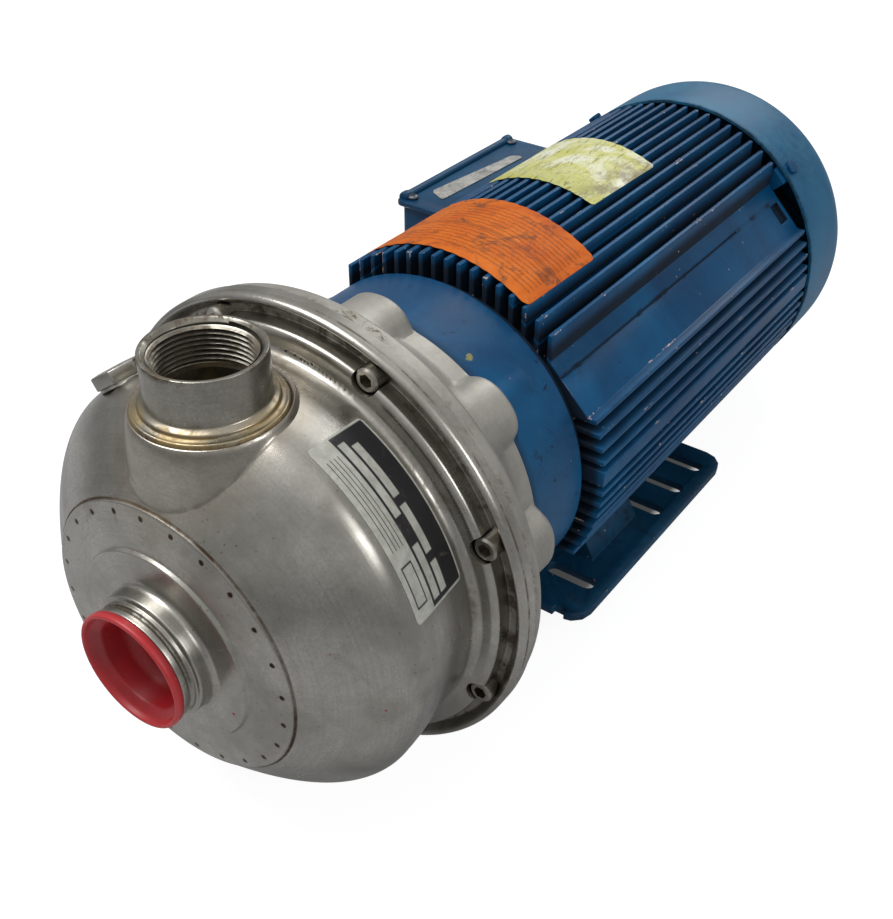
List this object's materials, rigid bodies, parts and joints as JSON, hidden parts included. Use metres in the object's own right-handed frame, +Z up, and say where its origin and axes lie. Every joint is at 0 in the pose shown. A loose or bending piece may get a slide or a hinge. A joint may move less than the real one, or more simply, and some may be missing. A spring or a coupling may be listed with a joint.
{
  "type": "centrifugal pump",
  "caption": "Close-coupled end-suction centrifugal pump: stainless casing, cast adapter and a blue finned motor on a slotted foot.",
  "frame": {"origin": "middle of the foot's underside, below the shaft's axis", "axes": "+Y along the shaft from the suction nozzle to the fan, +Z up along the discharge nozzle, +X to the right seen from the suction end"},
  "size_m": [0.2278, 0.5187, 0.2322],
  "materials": {
    "stainless": "satin, weld-tinted stainless sheet",
    "casting": "bead-blasted casting",
    "steel": "plain steel",
    "paint": "worn gloss blue paint",
    "red_plastic": "moulded red plastic",
    "rubber": "black rubber",
    "carbon": "lapped seal face",
    "laminations": "stacked laminations",
    "copper": "varnished copper winding",
    "black_plastic": "moulded black plastic"
  },
  "bodies": {
    "pump_body": {"casing": "stainless", "vent_plug": "stainless", "drain_plug": "stainless", "guide_vane": "stainless", "seal_housing": "stainless", "adapter": "casting", "casing_screw_1": "steel", "casing_screw_2": "steel", "casing_screw_3": "steel", "casing_screw_4": "steel", "casing_screw_5": "steel", "casing_screw_6": "steel", "casing_screw_7": "steel", "casing_screw_8": "steel", "adapter_bolt_1": "steel", "adapter_bolt_2": "steel", "adapter_bolt_3": "steel", "adapter_bolt_4": "steel", "fan_cover_screw_1": "steel", "fan_cover_screw_2": "steel", "fan_cover_screw_3": "steel", "fan_cover_screw_4": "steel", "lid_screw_1": "steel", "lid_screw_2": "steel", "lid_screw_3": "steel", "lid_screw_4": "steel", "foot_bolt_1": "steel", "foot_bolt_2": "steel", "front_bearing_outer_ring": "steel", "rear_bearing_outer_ring": "steel", "wave_washer": "steel", "front_end_shield": "paint", "motor_frame": "paint", "rear_end_shield": "paint", "fan_cover": "paint", "foot": "paint", "terminal_box": "paint", "terminal_box_lid": "paint", "casing_oring": "rubber", "seal_seat": "carbon", "stator_core": "laminations", "front_winding": "copper", "rear_winding": "copper", "wear_ring": "black_plastic", "terminal_block": "black_plastic"},
    "rotor": {"shaft": "steel", "impeller": "stainless", "impeller_nut": "stainless", "impeller_key": "steel", "seal_head": "carbon", "seal_spring": "steel", "slinger": "rubber", "rotor_core": "laminations", "front_bearing_inner_ring": "steel", "rear_bearing_inner_ring": "steel", "fan": "black_plastic", "fan_clip": "steel"},
    "front_cage": {"front_bearing_cage": "steel"},
    "rear_cage": {"rear_bearing_cage": "steel"},
    "cap": {"suction_cap": "red_plastic"}
  },
  "joints": [
    {"name": "shaft_spin", "type": "hinge", "parent": "pump_body", "child": "rotor", "pos_m": [0, 0, 0.0889], "axis": [0, 1, 0], "continuous": true},
    {"name": "front_cage_spin", "type": "hinge", "parent": "pump_body", "child": "front_cage", "pos_m": [0, 0, 0.0889], "axis": [0, 1, 0], "continuous": true},
    {"name": "rear_cage_spin", "type": "hinge", "parent": "pump_body", "child": "rear_cage", "pos_m": [0, 0, 0.0889], "axis": [0, 1, 0], "continuous": true},
    {"name": "cap_pull", "type": "slide", "parent": "pump_body", "child": "cap", "axis": [0, -1, 0], "range_m": [0, 0.03]}
  ],
  "couplings": [
    {"joint": "front_cage_spin", "follows": "shaft_spin", "ratio": 0.418},
    {"joint": "rear_cage_spin", "follows": "shaft_spin", "ratio": 0.406}
  ]
}
